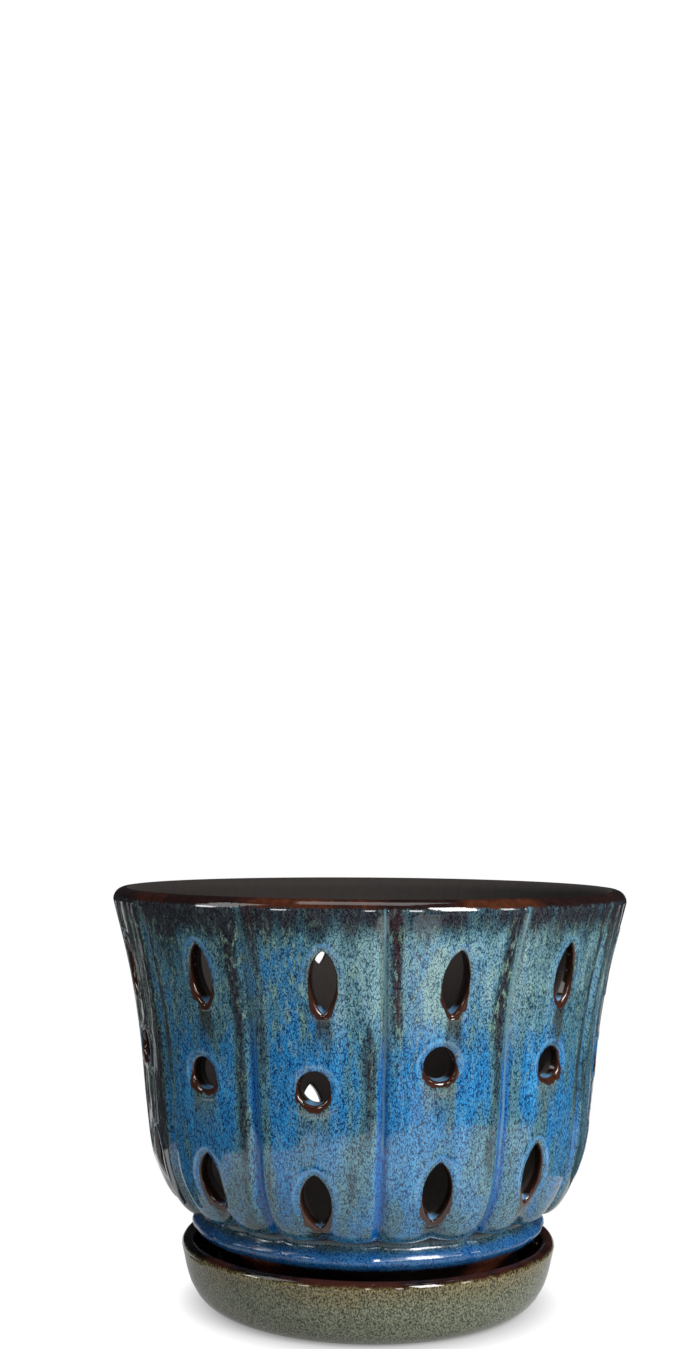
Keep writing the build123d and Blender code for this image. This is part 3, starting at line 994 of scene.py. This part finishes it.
boxes = [
    soft_box("right box", (0.9, -0.75, 0.75), (0.35, 0.7), 18),
    soft_box("left box", (-0.8, -0.5, 0.8), (0.4, 0.6), 2),
    soft_box("top box", (0, -0.1, 1.3), (0.7, 0.7), 3),
]
print("soft boxes:", len(boxes))

# %% [markdown]
# ## Dark cards that only the glaze sees
# In a mirror as round as this pot, the table's far edge is the line where the pale lower third of
# the wall begins. So the white table ends a quarter of a metre away, and beyond it lie dark cards,
# with walls and a ceiling. Thin gaps between the cards and a few strip lights give the bright
# lines. The camera and the soft light don't see any of them.

# %% Places round the pot
view_turn = Matrix.Rotation(radians(12), 4, "Z")  # the camera stands 12 degrees round to the right


def polar(degrees, reach, height):
    """A place round the pot: 0 degrees is straight behind it as the camera sees it, 90 to the right."""
    at = radians(degrees)
    return view_turn @ Vector((reach * sin(at), reach * cos(at), height))


def table_edge(degrees):
    """How far the white table reaches from the pot's middle, in metres."""
    return 0.256 + 0.029 * sin(radians(degrees))


print("the table ends at", [round(table_edge(at), 3) for at in (-90, 0, 90)], "m left, behind and right")

# %% The dark floor beyond the table
card_height, usual_edge = 0.002, 0.262
gaps = [  # from and to in degrees, near and far in metres
    (-56, -54.5, 0, 9), (-50, -49.3, 0, 9), (-41, -38.5, 0, 9), (-34, -33.4, 0, 9), (-24, -22.8, 0, 9),
    (-15, -14.5, 0, 9), (9, 11, 0, 9), (24, 26, 0, 9), (37, 38, 0, 9), (152, 163, 0.2, 0.5), (166, 167, 0, 9),
]
side_cards = [(42, 102), (-96, -78)]  # where dark cards lie on the white table itself
turns_round = sorted({*range(-180, 181, 6), *(side for gap in gaps for side in gap[:2])})
steps_out = [-0.125, 0.0, 0.03, 0.07, 0.12, 0.18, 0.24, 0.4, 0.8, 2.0]
corners, sheets = [], []
for left, right in zip(turns_round, turns_round[1:]):
    for near, far in zip(steps_out, steps_out[1:]):
        middle, reach = (left + right) / 2, (near + far) / 2 + usual_edge
        if near < 0 and not any(a < middle < b for a, b in side_cards):
            continue
        if near >= 0 and any(a < middle < b and n < reach < f for a, b, n, f in gaps):
            continue
        sheets.append(tuple(range(len(corners), len(corners) + 4)))
        for at, way in (left, near), (right, near), (right, far), (left, far):
            corners.append(polar(at, table_edge(at) + way, card_height))
dark_floor = flat_sheet("dark floor", corners, sheets)
print("dark sheets on the floor:", len(sheets))

# %% Walls, ceiling and strip lights
def upright(name, at, half, reach, low, high):
    """A sheet that stands and faces the pot, at an angle and half its width to each side."""
    left, right = at - half, at + half
    return flat_sheet(name, [
        polar(left, reach, low), polar(right, reach, low), polar(right, reach, high), polar(left, reach, high)])


wall_reach, strip_reach, ceiling_reach, wall_top = 2.2, 1.7, 3.2, 1.8
walls = [upright("dark wall", at, 10, wall_reach, 0, wall_top) for at in range(-170, 180, 20)]
ceiling = flat_sheet("dark ceiling", [polar(at, ceiling_reach, wall_top) for at in (45, 135, 225, 315)])
strips = [upright("strip light", at, half, strip_reach, low, high) for at, half, low, high in (
    (-106, 5, 0.5, 0.8), (-142, 3, 0.4, 0.7), (180, 1.6, 0.4, 0.8), (161, 2, 0.4, 0.9), (118, 3, 0.5, 0.9))]

black, strip_white = Shop("black card"), Shop("strip light")
black.finish("Base Color", (0.03, 0.03, 0.035, 1))
black.finish("Roughness", 0.9)
strip_white.finish("Emission Color", (1, 1, 1, 1))
strip_white.finish("Emission Strength", 12.0)
for sheet in dark_floor, ceiling, *walls, *strips:
    sheet.data.materials.append((strip_white if sheet in strips else black).owner)
    sheet.visible_camera = sheet.visible_diffuse = sheet.visible_shadow = sheet.visible_transmission = False
print("dark walls:", len(walls), "strip lights:", len(strips))

# %% [markdown]
# ## The camera
# The picture was taken from about two thirds of a metre, a little above the rim, twelve degrees
# round to the right of the front column, and tipped up so that the pot sits low in a tall frame.

# %% Place the camera
lens = bpy.data.cameras.new("camera")
lens.sensor_width, lens.lens = 36.0, 43.246
lens.clip_start, lens.clip_end = 0.01, 100
camera = bpy.data.objects.new("camera", lens)
bpy.context.collection.objects.link(camera)
bpy.context.scene.camera = camera

stand = Vector((0, -0.654, 0.18787))
yaw, tip, roll = radians(-1.09), radians(-4.929), radians(0.364)
forward = Vector((sin(yaw) * cos(tip), cos(yaw) * cos(tip), -sin(tip)))
right = Vector((cos(yaw), -sin(yaw), 0))
upward = right.cross(forward)
own_right = right * cos(roll) + upward * sin(roll)
own_up = upward * cos(roll) - right * sin(roll)
pose = Matrix((own_right, own_up, -forward)).transposed().to_4x4()
pose.translation = stand
camera.matrix_world = view_turn @ pose
print("camera at", [round(v, 3) for v in camera.matrix_world.translation])

# %% Colours as written
bpy.context.scene.view_settings.view_transform = "Standard"
